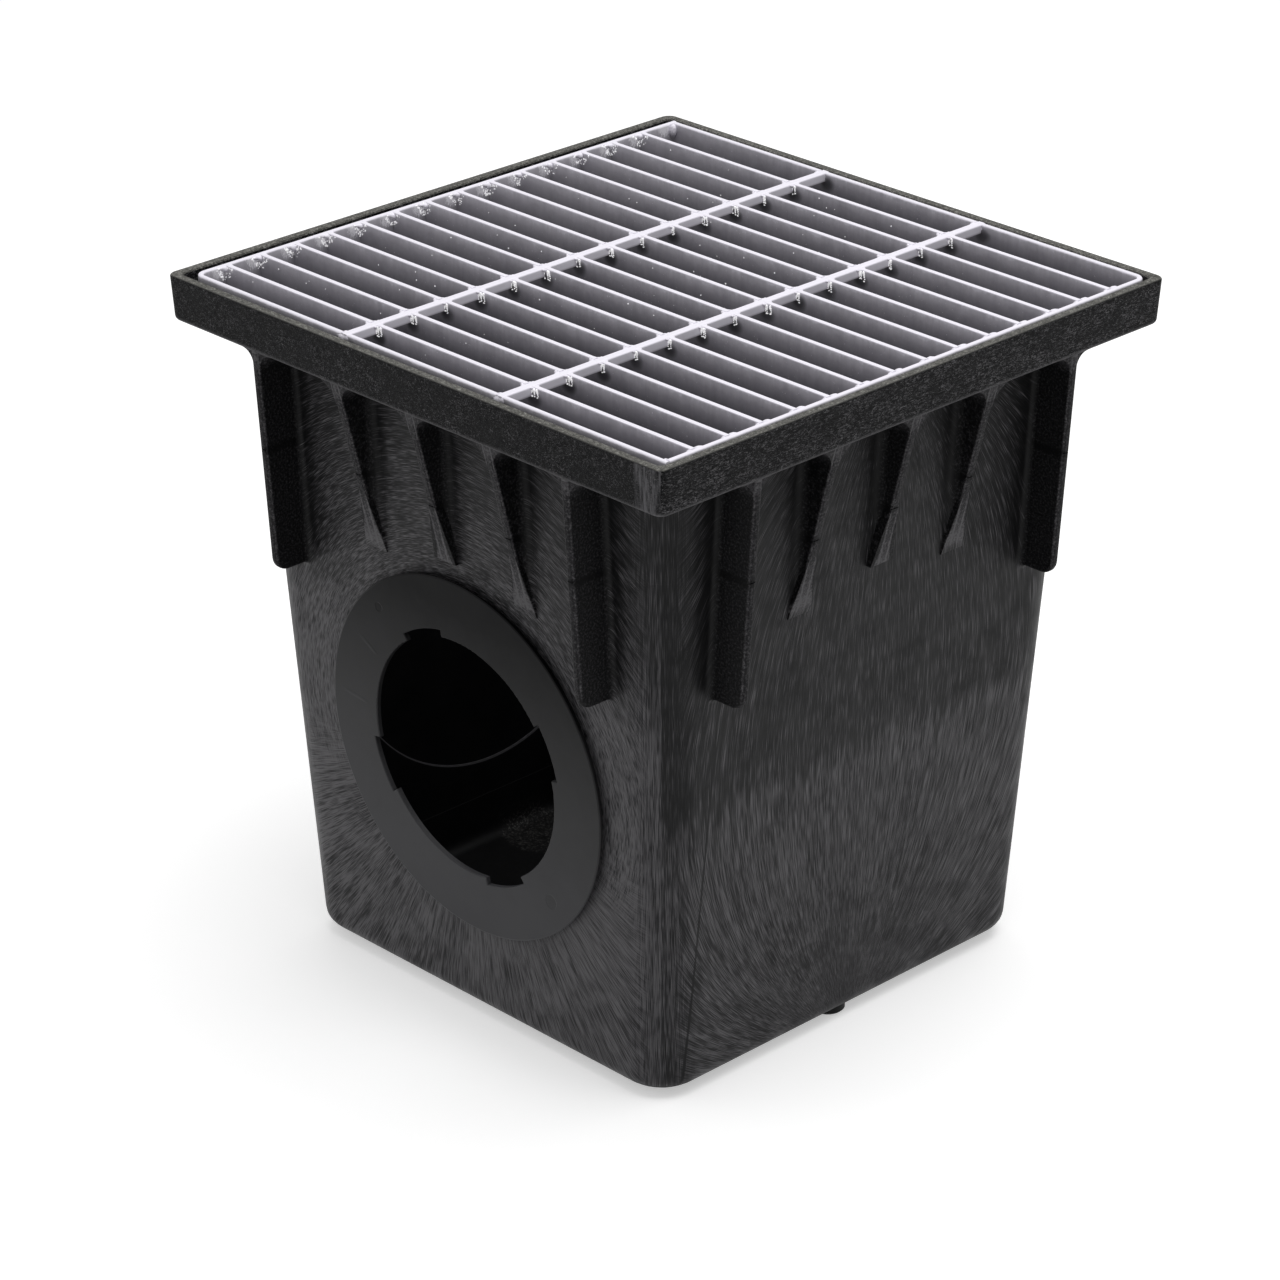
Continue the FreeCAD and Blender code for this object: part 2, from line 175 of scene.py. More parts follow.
rib = {
    "foot": 303.5,
    "ribEdge": (225.4, 0.0677),  # how far the edge is from the middle at the rib's foot, and its slope
    "gussetEdge": (232.6, 0.2574),  # the same for a gusset at the rim's underside
    "between": 112.0,  # gussets lie nearer to the wall's middle than this, ribs farther
    "stepLevel": 395.6,
    "toe": (392.0, 343.0),  # from where to where a gusset's foot widens
    "gussetPitch": 73.5,
    "ribMiddle": 150.0,
    "half": 3.25,  # half the thickness
    "rootAbove": (25.0, -8.0),  # the painted shade along the roots starts this far above the toe and the rib's foot
    # the sides' near-black specked tone: painted shade between the ribs and under the rim
    "specks": (0.44, 0.66, 0.0, 0.56),
    "waist": (3.2, 8.5, 3.4),  # the toe's hollow side, where painted light on the toe gives way to painted shade: power, growth, start
    "waistEdge": (-0.9, 0.4, 0.0, 1.0),
    "toePaintedLight": (0.0, 1.0, 0.26, 0.95),
    "toePower": 2.2,
    # how strong the painted edge highlight is on the ribs
    "ribHighlight": 0.20,
    "highlightRagged": 1.6,
    "edgeHighlight": (-1.6, 0.5, 0.0, 1.0),  # painted highlights along the rounded outer edges
    "arris": (1.2, 0.3, 0.0, 0.42),  # and on the corners beside them
    "arrisOut": (-2.2, -0.8, 0.0, 1.0),
    # painted shade on ribs and gussets at the step
    "stepShade": (3.5, 1.5, 0.0, 0.25),
    "flareRagged": 6.0,
    "flareGroundReflection": (455.0, 466.0, 0.0, 0.34),  # painted reflection of the pale ground, which the flares under the rim face
    "flareOut": (-16.0, -6.0, 0.0, 1.0),
    "standsOff": (0.4, 3.0, 0.0, 1.0),  # from here outwards it is a rib and no longer the wall
}
rim = {
    "black": "#060607",
    "fleck": "#6a696b",
    "flecks": [(0.22, "#060607"), (0.31, "#19191a"), (0.40, "#6a696b")],
    "fleckSize": 2.1,
    "scratch": {"Rotation": (0.5, 0.4, 0.3), "Scale": (0.55, 0.16, 0.9)},
    "patchy": (0.40, 0.70, 0.0, 0.05),
    "frontDarker": 0.02,
    "ridge": (0.045, 0.0, 0.0, 1.0),  # thin crackled ridges, where the scratches let them show
    "ridgeShow": (0.42, 0.64, 0.12, 1.0),
    "ridgeTone": 0.10,
    "cornerHighlight": "#68676a",  # upright painted highlights at the front's right end, by the rounded corner
    "cornerHighlightFrom": (214.0, 218.0, 0.0, 1.0),
    "cornerHighlightSize": (0.55, 0.55, 0.05),
    "cornerHighlightShow": (0.40, 0.62, 0.1, 0.8),
    "lowerRagged": 3.0,
    "lowerEdgeHighlight": (473.0, 468.6, 0.0, 0.7),  # a painted highlight along the rounded lower edge
    "worn": [(0.36, "#2c2c2a"), (0.5, "#4b4a46"), (0.64, "#878681")],
    "lipDepth": 3.0,
    "lipLevel": (0.45, 0.8, 0.0, 1.0),  # how far up the lip faces
    "lipRagged": 3.4,
    "lipEdge": (0.2, 1.3),  # the worn grey ends this far past the rim's half width
    "underEdge": 0.4,
    "specular": 0.06,
    "relief": 2.0,
    "bumpDepth": 0.45 * mm,
}
cavity = {  # the inside is smoother; its near-black colour is painted shade in the basin's hollow
    "black": "#0b0b0c",
    "depth": -3.0,
    "below": 2.0,
    "dustAndGlints": "#6d6c6a",  # grey specks on the floor near the left wall: dust, and painted glints
    "dustGlintMiddle": (-150, 22),
    "dustGlintSize": (34, 30),
    "dustGlintLevel": (30.0, 12.5, 0.0, 1.0),
    "dustGlintShow": (0.50, 0.64, 0.0, 0.35),
    "panelEdge": "#59585b",  # the left wall's round panel has an edge that catches light
    "panelMiddle": (-2.2, 208.2),
    "panelRadius": 135.0,
    "panelLeftOf": -150.0,
    "panelLine": (0.8, 0.2, 0.0, 1.0),
}


def wallAt(level):
    return foam["wallHalf"] + foam["slope"] * (level - foam["footLevel"])


def streaks(node, across, along, seed):
    # fine streaks and broad bands, both long in the direction of flow
    spot = node("CombineXYZ", (across, along, seed))
    total = 0.0
    for width, length, detail, roughness, share in foam["streaks"]:
        stretched = node("VectorMath MULTIPLY", (spot, (1 / width, 1 / length, 1)))
        noise = node("TexNoise", {"Vector": stretched, "Scale": 1.0, "Detail": detail, "Roughness": roughness})
        total = node("Math MULTIPLY_ADD", (noise, share, total))
    return total


def spotOnBasin(node):
    # where a point lies: u across its wall, z up, out from the middle, off outwards from the shell
    place, (x, y, z) = placeInMillimetres(node)
    absX, absY = [node("Math ABSOLUTE", (side,)) for side in (x, y)]
    onX = node("Math GREATER_THAN", (absX, absY))
    alongX = node("Math MULTIPLY", (y, node("Math SIGN", (x,))))
    againstY = node("Math MULTIPLY", (node("Math SIGN", (y,)), -1))
    u = node("Mix", {0: onX, 2: node("Math MULTIPLY", (x, againstY)), 3: alongX})
    onRight = node("Math MULTIPLY", (onX, node("Math GREATER_THAN", (x, 0))))
    onFront = node("Math MULTIPLY", (node("Math SUBTRACT", (1, onX)), node("Math LESS_THAN", (y, 0))))
    cornerSide = node("Math SUBTRACT", (absX, absY))
    wallHere = node("Math MULTIPLY_ADD", (z, foam["slope"], wallAt(0)))
    core = node("Math SUBTRACT", (wallHere, foam["cornerRadius"]))
    pastX, pastY = [node("Math MAXIMUM", (node("Math SUBTRACT", (side, core)), 0)) for side in (absX, absY)]
    off = node("Math SUBTRACT", (farFrom(node, pastX, pastY, (0, 0)), foam["cornerRadius"]))

    # how far the nearest gusset or rib is
    absU = node("Math ABSOLUTE", (u,))
    isRib = node("Math GREATER_THAN", (absU, rib["between"]))
    pitch = rib["gussetPitch"]
    inPitch = node("Math FLOORED_MODULO", (node("Math ADD", (u, pitch / 2)), pitch))
    gussetGap = apart(node, inPitch, pitch / 2)
    rootGap = node("Mix", {0: isRib, 2: gussetGap, 3: apart(node, absU, rib["ribMiddle"])})

    cloud = node("TexNoise", {"Vector": place, "Scale": 1 / foam["cloudSize"], "Detail": 4.0,
                              "Roughness": 0.62})
    raggedMap = node("VectorMath MULTIPLY", (place, [1 / size for size in foam["raggedSize"]]))
    ragged = node("TexNoise", {"Vector": raggedMap, "Scale": 1.0, "Detail": 3.0, "Roughness": 0.6})
    speck = node("TexNoise", {"Vector": place, "Scale": foam["specksPerMm"], "Detail": 3.0,
                              "Roughness": 0.7})
    return SimpleNamespace(
        place=place, x=x, y=y, z=z, u=u, off=off, out=node("Math MAXIMUM", (absX, absY)),
        onRight=onRight, onFront=onFront, cornerSide=cornerSide,
        cornerGap=apart(node, absX, absY), stepGap=apart(node, z, rib["stepLevel"]),
        isRib=isRib, gussetGap=gussetGap, rootGap=rootGap, cloud=cloud, ragged=ragged, speck=speck)


def meltFlow(node, spot):
    # streaks along the flow of the melt, and how far a point is from the gate
    # plain walls: streaks leave the gate and meet again at the top, as field lines do
    span = foam["meetLevel"] - foam["gateLevel"]
    fromGate = node("Math ARCTAN2", (spot.u, node("Math SUBTRACT", (spot.z, foam["gateLevel"]))))
    toMeet = node("Math ARCTAN2", (spot.u, node("Math SUBTRACT", (foam["meetLevel"], spot.z))))
    across = node("Math MULTIPLY", (node("Math ADD", (fromGate, toMeet)), span / 4))
    gateFar = farFrom(node, spot.u, spot.z, (0, foam["gateLevel"]))
    meetFar = farFrom(node, spot.u, spot.z, (0, foam["meetLevel"]))
    share = node("Math DIVIDE", (gateFar, meetFar))
    along = node("Math MULTIPLY", (node("Math LOGARITHM", (share, math.e)), span / 4))
    plain = streaks(node, across, along, seed=3.0)

    # the front wall: streaks fan out below the opening and run round it above
    ringU = node("Math SUBTRACT", (spot.u, foam["ringMiddle"][0]))
    ringZ = node("Math SUBTRACT", (spot.z, foam["ringMiddle"][1]))
    downwards = node("Math MULTIPLY", (ringZ, -1))
    turn = node("Math MULTIPLY", (node("Math ARCTAN2", (ringU, downwards)), foam["radian"]))
    radius = farFrom(node, spot.u, spot.z, foam["ringMiddle"])
    fan = streaks(node, turn, radius, seed=11.0)
    hoop = streaks(node, radius, node("Math MULTIPLY", (turn, foam["hoopSpeed"])), seed=17.0)
    above = node("MapRange SMOOTHSTEP", (node("Math MULTIPLY_ADD", (spot.cloud, foam["hoopRagged"], ringZ)),
                                         *foam["hoops"]))
    flow = node("Mix", {0: spot.onFront, 2: plain, 3: node("Mix", {0: above, 2: fan, 3: hoop})})

    atCorner = node("MapRange SMOOTHSTEP", (spot.cornerGap, *foam["cornerStreaks"]))
    upright = streaks(node, spot.cornerSide, spot.z, seed=23.0)
    return node("Mix", {0: atCorner, 2: flow, 3: upright}), gateFar


def wallTone(node, spot, flow, gateFar):
    swing = node("Math MULTIPLY", (node("Math SUBTRACT", (flow, 0.5)), wall["swing"]))
    calm = node("Mix", {0: spot.onFront, 2: node("MapRange", (gateFar, *wall["calm"])), 3: 1.0})
    # painted reflection of the pale floor, low on the front wall
    paintedLight = node("Math MULTIPLY", (node("MapRange", (spot.z, *wall["frontFloorReflection"])), spot.onFront))
    tone = node("Math MULTIPLY_ADD", (swing, calm, node("Math ADD", (paintedLight, wall["base"]))))
    # a thin painted highlight along the step
    tone = node("Math ADD", (tone, node("MapRange", (spot.stepGap, *wall["stepHighlight"]))))

    # what makes it darker: painted shade below the rim, at the corners and along the roots, and dark mottles,
    # patches and the parting line
    # painted shade below the rim: darker above a ragged border on plain walls, and rising up the front wall
    border = node("Math MULTIPLY_ADD", (node("Math SUBTRACT", (spot.ragged, 0.5)), wall["upperRagged"], spot.z))
    underRimShadePlain = node("MapRange SMOOTHSTEP", (border, *wall["underRimShadePlain"]))
    underRimShadeFront = node("MapRange", (spot.z, *wall["underRimShadeFront"]))
    mottles = node("Math ADD", (spot.cloud, node("MapRange", (spot.z, *wall["mottleLow"]))))
    # painted shade near the rounded corners
    corner = node("Math MULTIPLY_ADD", (spot.cloud, wall["cornerRagged"], spot.cornerGap))
    darker = [node("Mix", {0: spot.onFront, 2: underRimShadePlain, 3: underRimShadeFront}),
              node("MapRange SMOOTHSTEP", (mottles, *wall["mottle"])),
              node("MapRange SMOOTHSTEP", (corner, *wall["cornerShade"]))]
    for side, patches in ((spot.onRight, wall["rightPatches"]), (spot.onFront, wall["frontPatches"])):
        for middle, size, strength in patches:
            patch = node("Math MULTIPLY", (blot(node, spot.u, spot.z, middle, size, spot.cloud), side))
            darker.append(node("Math MULTIPLY", (patch, strength)))
    partingGap = apart(node, spot.u, node("Math MULTIPLY_ADD", (spot.z, *wall["parting"])))
    below = node("Math LESS_THAN", (spot.z, wall["partingTop"]))
    darker.append(node("Math MULTIPLY", (node("MapRange", (partingGap, *wall["partingDark"])),
                                         node("Math MULTIPLY", (spot.onRight, below)))))
    # painted shade along the roots of ribs and gussets, fading in upwards from where it starts
    rootFrom = node("Mix", {0: spot.isRib, 2: rib["toe"][1] + rib["rootAbove"][0],
                            3: rib["foot"] + rib["rootAbove"][1]})
    rootHigh = node("MapRange", (node("Math SUBTRACT", (spot.z, rootFrom)), *wall["rootFade"]))
    root = node("Math MULTIPLY_ADD", (spot.ragged, wall["rootRagged"], spot.rootGap))
    rootShade = node("MapRange SMOOTHSTEP", (root, *wall["rootShade"]))
    darker.append(node("Math MULTIPLY", (rootShade, rootHigh)))
    for dark in darker:
        tone = node("Math SUBTRACT", (tone, dark))
    return tone


def buttressTone(node, spot):
    # ribs and gussets: sides painted nearly black with fine specks, painted shade between the ribs and under
    # the rim, with painted highlights along their outer edges
    gussetOut, gussetSlope = rib["gussetEdge"]
    ribOut, ribSlope = rib["ribEdge"]
    gussetEdge = node("Math MULTIPLY_ADD", (spot.z, gussetSlope, gussetOut - gussetSlope * foam["rimUnder"]))
    ribEdge = node("Math MULTIPLY_ADD", (spot.z, ribSlope, ribOut - ribSlope * rib["foot"]))
    edgeGap = node("Math SUBTRACT", (spot.out, node("Mix", {0: spot.isRib, 2: gussetEdge, 3: ribEdge})))
    # painted light on a gusset's widening toe inside its hollow outline, lightest low down, and painted shade
    # outside it
    power, growth, start = rib["waist"]
    sink = node("MapRange", (spot.z, *rib["toe"], 0.0, 1.0))
    waist = node("Math MULTIPLY_ADD", (node("Math POWER", (sink, power)), growth, start))
    inWaist = node("MapRange", (node("Math SUBTRACT", (waist, spot.gussetGap)), *rib["waistEdge"]))
    light = node("MapRange", (node("Math POWER", (sink, rib["toePower"])), *rib["toePaintedLight"]))
    toe = node("Mix", {0: spot.isRib, 2: node("Math MULTIPLY", (inWaist, light)), 3: rib["ribHighlight"]})
    # painted highlights along the rounded outer edges and on the corners beside them
    edgeHighlight = node("MapRange", (node("Math MULTIPLY_ADD", (spot.speck, rib["highlightRagged"], edgeGap)),
                               *rib["edgeHighlight"]))
    tone = node("Math MULTIPLY_ADD", (edgeHighlight, toe, node("MapRange", (spot.speck, *rib["specks"]))))
    arris = node("MapRange", (apart(node, spot.rootGap, rib["half"]), *rib["arris"]))
    tone = node("Math MULTIPLY_ADD", (arris, node("MapRange", (edgeGap, *rib["arrisOut"])), tone))
    # painted shade at the step
    tone = node("Math SUBTRACT", (tone, node("MapRange", (spot.stepGap, *rib["stepShade"]))))
    # painted reflection of the pale ground on the flares under the rim
    high = node("Math MULTIPLY_ADD", (spot.speck, rib["flareRagged"], spot.z))
    flareGroundReflection = node("MapRange SMOOTHSTEP", (high, *rib["flareGroundReflection"]))
    flareOut = node("MapRange", (edgeGap, *rib["flareOut"]))
    return node("Math MULTIPLY_ADD", (flareGroundReflection, flareOut, tone))


def rimColour(node, spot):
    # nearly black, leathery with light flecks, with painted highlights at the front's right end and along the
    # lower edge; the lip is worn grey
    fleck = node("TexNoise", {"Vector": spot.place, "Scale": 1 / rim["fleckSize"], "Detail": 4.0,
                              "Roughness": 0.72, "Distortion": 1.4})
    scratch = node("TexNoise", {"Vector": node("Mapping", {"Vector": spot.place, **rim["scratch"]}),
                                "Scale": 1.0, "Detail": 3.0, "Roughness": 0.7, "Distortion": 2.0})
    patchy = node("Math SUBTRACT", (node("MapRange", (spot.cloud, *rim["patchy"])),
                                    node("Math MULTIPLY", (spot.onFront, rim["frontDarker"]))))
    ridge = node("Math MULTIPLY", (node("MapRange", (apart(node, fleck, 0.5), *rim["ridge"])),
                                   node("MapRange", (scratch, *rim["ridgeShow"]))))
    fleckTone = node("Math MULTIPLY_ADD", (fleck, scratch, patchy))
    fleckTone = node("Math MULTIPLY_ADD", (ridge, rim["ridgeTone"], fleckTone))
    band = node("ValToRGB", (fleckTone,), rim["flecks"]).outputs[0]
    # upright painted highlights at the front's right end, by the rounded corner
    cornerHighlightMap = node("VectorMath MULTIPLY", (spot.place, rim["cornerHighlightSize"]))
    cornerHighlightLine = node("TexNoise", {"Vector": cornerHighlightMap, "Scale": 1.0, "Detail": 3.0, "Roughness": 0.7})
    cornerHighlightIn = node("Math MULTIPLY", (node("MapRange", (spot.u, *rim["cornerHighlightFrom"])), spot.onFront))
    cornerHighlight = node("Math MULTIPLY", (cornerHighlightIn, node("MapRange", (cornerHighlightLine, *rim["cornerHighlightShow"]))))
    band = node("MixRGB", (cornerHighlight, band, rim["cornerHighlight"]))
    # a painted highlight along the rim's rounded lower edge
    low = node("Math MULTIPLY_ADD", (spot.speck, rim["lowerRagged"], spot.z))
    band = node("MixRGB", (node("MapRange SMOOTHSTEP", (low, *rim["lowerEdgeHighlight"])), band, rim["fleck"]))

    facing = node("SeparateXYZ", (node("NewGeometry").outputs["Normal"],)).outputs["Z"]
    high = node("Math GREATER_THAN", (spot.z, foam["rimTop"] - rim["lipDepth"]))
    lip = node("Math MULTIPLY", (node("MapRange", (facing, *rim["lipLevel"])), high))
    edgeFrom, edgeTo = [foam["rimHalf"] + past for past in rim["lipEdge"]]
    lipEdge = node("MapRange", (node("Math MULTIPLY_ADD", (fleck, rim["lipRagged"], spot.out)),
                                edgeFrom, edgeTo, 0.0, 1.0))
    worn = node("ValToRGB", (fleck,), rim["worn"]).outputs[0]
    lipColour = node("MixRGB", (lipEdge, worn, rim["black"]))
    return node("MixRGB", (lip, band, lipColour)), fleckTone, lip


def cavityColour(node, spot):
    # grey dust and painted glints on the floor near the left wall
    patch = blot(node, spot.x, spot.y, cavity["dustGlintMiddle"], cavity["dustGlintSize"], spot.cloud)
    low = node("MapRange", (spot.z, *cavity["dustGlintLevel"]))
    dustAndGlints = node("Math MULTIPLY", (node("Math MULTIPLY", (patch, low)),
                                  node("MapRange", (spot.speck, *cavity["dustGlintShow"]))))
    colour = node("MixRGB", (dustAndGlints, cavity["black"], cavity["dustAndGlints"]))
    panelGap = apart(node, farFrom(node, spot.y, spot.z, cavity["panelMiddle"]), cavity["panelRadius"])
    onLeft = node("Math LESS_THAN", (spot.x, cavity["panelLeftOf"]))
    line = node("Math MULTIPLY", (node("MapRange", (panelGap, *cavity["panelLine"])), onLeft))
    colour = node("MixRGB", (line, colour, cavity["panelEdge"]))
    # the inside, painted near black as painted shade
    inside = node("Math LESS_THAN", (spot.off, cavity["depth"]))
    belowRim = node("Math LESS_THAN", (spot.z, foam["rimTop"] - cavity["below"]))
    return colour, node("Math MULTIPLY", (inside, belowRim))


def structuralFoam():
    material, node = newMaterial("structuralFoamBlack")
    spot = spotOnBasin(node)
    flow, gateFar = meltFlow(node, spot)
    # ribs and gussets take the buttress tone, with its painted shade and highlights
    standsOff = node("MapRange SMOOTHSTEP", (spot.off, *rib["standsOff"]))
    tone = node("Mix", {0: standsOff, 2: wallTone(node, spot, flow, gateFar), 3: buttressTone(node, spot)})
    onRim = node("Math GREATER_THAN", (spot.z, foam["rimUnder"] - rim["underEdge"]))
    rimPaint, fleckTone, lip = rimColour(node, spot)
    colour = node("MixRGB", (onRim, node("ValToRGB", (tone,), foam["tones"]).outputs[0], rimPaint))
    cavityPaint, inCavity = cavityColour(node, spot)
    colour = node("MixRGB", (inCavity, colour, cavityPaint))

    gloss = node("MapRange", (spot.cloud, *noiseSpan, *foam["roughness"]))
    gloss = node("Math MULTIPLY_ADD", (onRim, foam["rimRougher"], gloss))
    relief = node("Mix", {0: onRim, 2: flow, 3: node("Math MULTIPLY", (fleckTone, rim["relief"]))})
    depth = node("Mix", {0: onRim, 2: foam["bumpDepth"], 3: rim["bumpDepth"]})
    duller = node("Math SUBTRACT", (node("Math MAXIMUM", (onRim, standsOff)), lip))
    shine = node("MapRange", (duller, 0.0, 1.0, foam["specular"], rim["specular"]))
    bump = node("Bump", {"Strength": foam["bump"], "Distance": depth, "Height": relief})
    shader = node("BsdfPrincipled", {"Base Color": colour, "Roughness": gloss, "Specular IOR Level": shine,
                                     "Normal": bump})
    node("OutputMaterial", {"Surface": shader})
    return material


# Solid injected plastic of the outlet ring: even and satin, with painted shade that makes it darker and
# less glossy towards its top, with two short flow lines at the upper left and two handling dents.
satin = {
    "tones": [(0.0, "#0a0a0b"), (0.5, "#262627"), (1.0, "#39393b")],
    "shadeLean": (-0.0050, -0.0006, 0.54),  # painted shade: the tone's change up the ring and across it, and the tone at its middle
    "smudgeSize": 26.0,
    "smudge": (0.5, 0.2),  # how much it changes the tone and the height
    "grainSize": 0.5,
    "grainHeight": 0.08,
    "roughness": (0.42, 0.48),
    "specular": (0.0, 115.0, 0.14, 0.055),  # less sheen towards the top, painted shade
    "flowLines": [(149.0, 96.0, 119.0), (175.0, 97.0, 124.0)],  # degrees, and from which radius to which
    "lineWidth": (1.1, 0.1, 0.0, 1.0),  # degrees
    "lineEnds": (5, 9),  # over how much it fades in and out
    "line": (0.10, 0.4),  # how much it changes the tone and the height
    "dents": [(80.0, -80.0, 5.0), (-78.0, 88.0, 3.5)],  # across, up from the ring's middle, radius
    "dent": (-0.14, -0.5),
    "bump": 0.7,
    "bumpDepth": 0.5 * mm,
}


def satinPlastic():
    material, node = newMaterial("injectedPlasticSatinBlack")
    place, (x, _, z) = placeInMillimetres(node)
    ringX = node("Math SUBTRACT", (x, foam["ringMiddle"][0]))
    ringZ = node("Math SUBTRACT", (z, foam["ringMiddle"][1]))
    turn = node("Math MULTIPLY", (node("Math ARCTAN2", (ringZ, ringX)), 180 / math.pi))
    radius = farFrom(node, x, z, foam["ringMiddle"])
    smudge = node("TexNoise", {"Vector": place, "Scale": 1 / satin["smudgeSize"], "Detail": 3.0,
                               "Roughness": 0.6})
    # painted shade: darker up the ring, and a little across it
    shadeUp, shadeAcross, middleTone = satin["shadeLean"]
    shadeLean = node("Math MULTIPLY_ADD", (ringX, shadeAcross, middleTone))
    shadeLean = node("Math MULTIPLY_ADD", (ringZ, shadeUp, shadeLean))
    tone = node("Math MULTIPLY_ADD", (node("Math SUBTRACT", (smudge, 0.5)), satin["smudge"][0], shadeLean))
    height = node("Math MULTIPLY", (smudge, satin["smudge"][1]))
    marks = []
    for degrees, inner, outer in satin["flowLines"]:
        line = node("MapRange SMOOTHSTEP", (apart(node, turn, degrees), *satin["lineWidth"]))
        starts = node("MapRange", (radius, inner, inner + satin["lineEnds"][0], 0.0, 1.0))
        ends = node("MapRange", (radius, outer, outer - satin["lineEnds"][1], 0.0, 1.0))
        line = node("Math MULTIPLY", (node("Math MULTIPLY", (line, starts)), ends))
        marks.append((line, satin["line"]))
    for across, up, size in satin["dents"]:
        marks.append((blot(node, ringX, ringZ, (across, up), (size, size), smudge), satin["dent"]))
    for mark, (toneChange, heightChange) in marks:
        tone = node("Math MULTIPLY_ADD", (mark, toneChange, tone))
        height = node("Math MULTIPLY_ADD", (mark, heightChange, height))
    colour = node("ValToRGB", (tone,), satin["tones"])
    gloss = node("MapRange", (smudge, *noiseSpan, *satin["roughness"]))
    # less sheen towards the top, painted shade
    shine = node("MapRange", (ringZ, *satin["specular"]))
    grain = node("TexNoise", {"Vector": place, "Scale": 1 / satin["grainSize"]})
    relief = node("Math MULTIPLY_ADD", (grain, satin["grainHeight"], height))
    bump = node("Bump", {"Strength": satin["bump"], "Distance": satin["bumpDepth"], "Height": relief})
    shader = node("BsdfPrincipled", {"Base Color": colour, "Roughness": gloss, "Specular IOR Level": shine,
                                     "Normal": bump})
    node("OutputMaterial", {"Surface": shader})
    return material


# The grate's sizes, which its zinc skin, the welds and the drips follow
grate = {
    "top": 500.9,
    "frameInside": {"left": -220.3, "right": 226.7, "front": -222.5, "back": 224.5},
    "frontFace": -226.5,
    "backFace": 228.5,
    "firstBar": -199.0,
    "pitch": 30.16,
    "bars": 14,
    "barHalf": 1.9,
    "rods": (-68.6, 80.8),
    "rodHalf": 3.2,
}
barMiddles = [grate["firstBar"] + grate["pitch"] * index for index in range(grate["bars"])]

# Hot-dip galvanised steel: a dull zinc skin with faint runs, with painted light on the top edges
# and painted shade that makes the sides greyer downwards.
zinc = {
    # the sides' tone down their depth: painted shade between the bars
    "side": [(0.0, "#dedbe4"), (0.09, "#c0bdc5"), (0.32, "#a09da5"), (0.68, "#7f7d84"), (1.0, "#66646a")],
    "sideShadeDepth": 22.0,  # the sides get darker down to here, painted shade between the bars
    "unevenness": 0.55,
    # the top's pale colour, painted light; the specks on the sides take it too
    "top": "#e4e1ea",
    "litTopBorder": (1.6, 0.034),  # the painted light of the top fades out at this many times its depth, and a little more
    "barLitDepth": 0.25,  # how far the painted light of the top reaches down the bars, the rods and the welds
    "rodLitDepth": 4.6,
    "weldLitDepth": 7.0,
    "runSize": (3.0, 30.0),
    "runShare": 0.25,
    "cloudSize": 14.0,
    "speckSize": 1.3,
    "specks": (0.72, 0.76, 0.0, 0.9),
    "haze": "#c9c6ce",  # paler towards the left
    "hazeRagged": 90.0,
    "hazeLeft": (-20.0, -190.0, 0.0, 0.30),
    "smudge": "#232225",  # dark marks on the bars right of each rod: painted shadow under the rod, with some zinc oxide stain
    "stainShadeMiddle": (2.0, 0.36),  # past the rod, and down as a share of the side's depth
    "smudgeSize": (8.0, 0.30),
    "stainShadeEdge": (1.2, (1.7, 0.5)),
    "stainShadeShare": 0.85,
    "splash": "#f6f4fa",  # bright spatter by the weld at each bar's left end
    "splashEnd": -220.0,
    "splashBefore": 5.5,  # its middle lies this far before the bar's face
    "splashSize": (9.0, 6.5, 0.42),
    "splashGrain": (1.1, 1.1, 0.5),
    "splashRagged": -3.4,
    "splashEdge": (-0.5, -1.3, 0.0, 1.0),
    "metallic": 0.12,
    "roughness": (0.50, 0.66),
    "bump": 0.4,
    "bumpDepth": 0.1 * mm,
}


